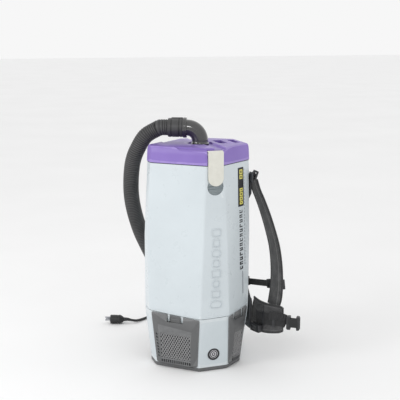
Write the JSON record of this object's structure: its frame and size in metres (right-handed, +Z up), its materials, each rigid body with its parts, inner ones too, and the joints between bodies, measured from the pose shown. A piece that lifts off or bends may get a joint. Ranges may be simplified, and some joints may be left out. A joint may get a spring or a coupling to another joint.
{
  "type": "backpack vacuum cleaner",
  "caption": "Tall eight-sided backpack vacuum with a purple latched lid, swivel elbow and hose, vented base and padded shoulder and waist harness.",
  "frame": {"origin": "centre of the base's flat underside, on the latch-to-latch axis", "axes": "+Z up, -Y to the outer face, +Y to the wearer's back, +X and -X to the two latch faces"},
  "size_m": [0.6975, 0.4669, 0.7414],
  "materials": {
    "shell_grey": "pale cool grey moulded plastic, satin",
    "lid_purple": "purple moulded plastic, satin gloss",
    "latch_ivory": "warm light grey moulded latch",
    "vent_grey": "mid dark grey moulded plastic, fine texture",
    "rim_grey": "dark grey moulded plastic",
    "badge_metal": "round pressed metal badge, plain ring",
    "label_dark": "thin printed plate with plain bars",
    "foam_dark": "open-cell exhaust foam",
    "deck_plastic": "dark moulded bulkhead",
    "black_rubber": "soft black rubber",
    "filter_white": "off-white filter cloth",
    "bag_paper": "tan filter paper",
    "card": "pressed card collar",
    "motor_alu": "spun aluminium housing",
    "motor_steel": "pressed steel motor can",
    "copper": "wound copper armature",
    "brass_part": "brass brush tubes and plug blades",
    "steel_pin": "bright steel",
    "elbow_gloss": "glossy dark grey moulded elbow",
    "cuff_plastic": "soft dark cuff",
    "hose_plastic": "ribbed flexible vacuum hose",
    "cord_rubber": "black round flexible cord",
    "harness_plastic": "black moulded harness plate and buckles",
    "pad_fabric": "grey woven padding",
    "webbing": "dark woven webbing",
    "switch_red": "red rocker"
  },
  "bodies": {
    "body": {"upper_shell": "shell_grey", "base_housing": "shell_grey", "base_rim": "rim_grey", "badge_left": "badge_metal", "badge_right": "badge_metal", "label_left": "label_dark", "label_right": "label_dark", "foam_front_left": "foam_dark", "foam_front_right": "foam_dark", "foam_rear_left": "foam_dark", "foam_rear_right": "foam_dark", "motor_deck": "deck_plastic", "deck_gasket": "black_rubber", "dome_filter": "filter_white", "fan_housing": "motor_alu", "motor_can": "motor_steel", "motor_mount": "black_rubber", "brush_holders": "brass_part", "cloth_filter": "filter_white", "paper_bag": "bag_paper", "bag_collar": "card", "lid_gasket": "black_rubber", "cord_gland": "cord_rubber", "cord": "cord_rubber", "plug_body": "cord_rubber", "plug_blades": "brass_part", "harness_plate": "harness_plastic", "harness_screws": "steel_pin", "lumbar_pad": "pad_fabric", "strap_left": "pad_fabric", "strap_right": "pad_fabric", "strap_hardware": "harness_plastic", "lifter_web_left": "webbing", "lifter_web_right": "webbing", "sternum_clips": "harness_plastic", "sternum_female": "harness_plastic", "wing_left": "pad_fabric", "wing_right": "pad_fabric", "belt_web_left": "webbing", "belt_web_right": "webbing", "belt_buckles": "harness_plastic", "switch_box": "harness_plastic"},
    "lid": {"lid": "lid_purple", "carry_handle": "lid_purple", "latch_pins": "steel_pin", "hose": "hose_plastic", "hose_end_cuff": "cuff_plastic"},
    "latch_left": {"latch_left": "latch_ivory"},
    "latch_right": {"latch_right": "latch_ivory"},
    "elbow": {"elbow": "elbow_gloss", "elbow_retainer": "steel_pin"},
    "cuff": {"hose_cuff": "cuff_plastic"},
    "rotor": {"armature": "copper", "fan_rotor": "motor_alu"},
    "vent_front_left": {"vent_front_left": "vent_grey"},
    "vent_front_right": {"vent_front_right": "vent_grey"},
    "vent_rear_left": {"vent_rear_left": "vent_grey"},
    "vent_rear_right": {"vent_rear_right": "vent_grey"},
    "rocker": {"switch_rocker": "switch_red"},
    "sternum": {"sternum_male": "harness_plastic"}
  },
  "joints": [
    {"name": "lid_lift", "type": "slide", "parent": "body", "child": "lid", "axis": [0, 0, 1], "range_m": [0, 0.06]},
    {"name": "latch_left", "type": "hinge", "parent": "lid", "child": "latch_left", "pos_m": [-0.1345, 0, 0.654], "axis": [0, 1, 0], "range_deg": [0, 110]},
    {"name": "latch_right", "type": "hinge", "parent": "lid", "child": "latch_right", "pos_m": [0.1345, 0, 0.654], "axis": [0, -1, 0], "range_deg": [0, 110]},
    {"name": "elbow_swivel", "type": "hinge", "parent": "lid", "child": "elbow", "pos_m": [0, 0.002, 0.661], "axis": [0, 0, 1], "range_deg": [-20, 50], "deforming": ["hose"]},
    {"name": "cuff_swivel", "type": "hinge", "parent": "elbow", "child": "cuff", "pos_m": [-0.02034, -0.04368, 0.7114], "axis": [-0.4067, -0.9135, 0], "continuous": true},
    {"name": "fan_spin", "type": "hinge", "parent": "body", "child": "rotor", "pos_m": [0, -0.02, 0.09], "axis": [0, 0, 1], "continuous": true},
    {"name": "vent_front_left", "type": "hinge", "parent": "body", "child": "vent_front_left", "pos_m": [-0.07421, -0.09615, 0.014], "axis": [0.6841, -0.7293, 0], "range_deg": [0, 50]},
    {"name": "vent_front_right", "type": "hinge", "parent": "body", "child": "vent_front_right", "pos_m": [0.07421, -0.09615, 0.014], "axis": [0.6841, 0.7293, 0], "range_deg": [0, 50]},
    {"name": "vent_rear_left", "type": "hinge", "parent": "body", "child": "vent_rear_left", "pos_m": [-0.10014, 0.0748, 0.014], "axis": [-0.5971, -0.8022, 0], "range_deg": [0, 10]},
    {"name": "vent_rear_right", "type": "hinge", "parent": "body", "child": "vent_rear_right", "pos_m": [0.10014, 0.0748, 0.014], "axis": [-0.5971, 0.8022, 0], "range_deg": [0, 10]},
    {"name": "switch_rock", "type": "hinge", "parent": "body", "child": "rocker", "pos_m": [0.09078, 0.14794, 0.106], "axis": [0.9511, 0.309, 0], "range_deg": [-8, 8]},
    {"name": "sternum_release", "type": "slide", "parent": "body", "child": "sternum", "axis": [-0.9704, -0.1373, -0.1988], "range_m": [0, 0.024]}
  ]
}
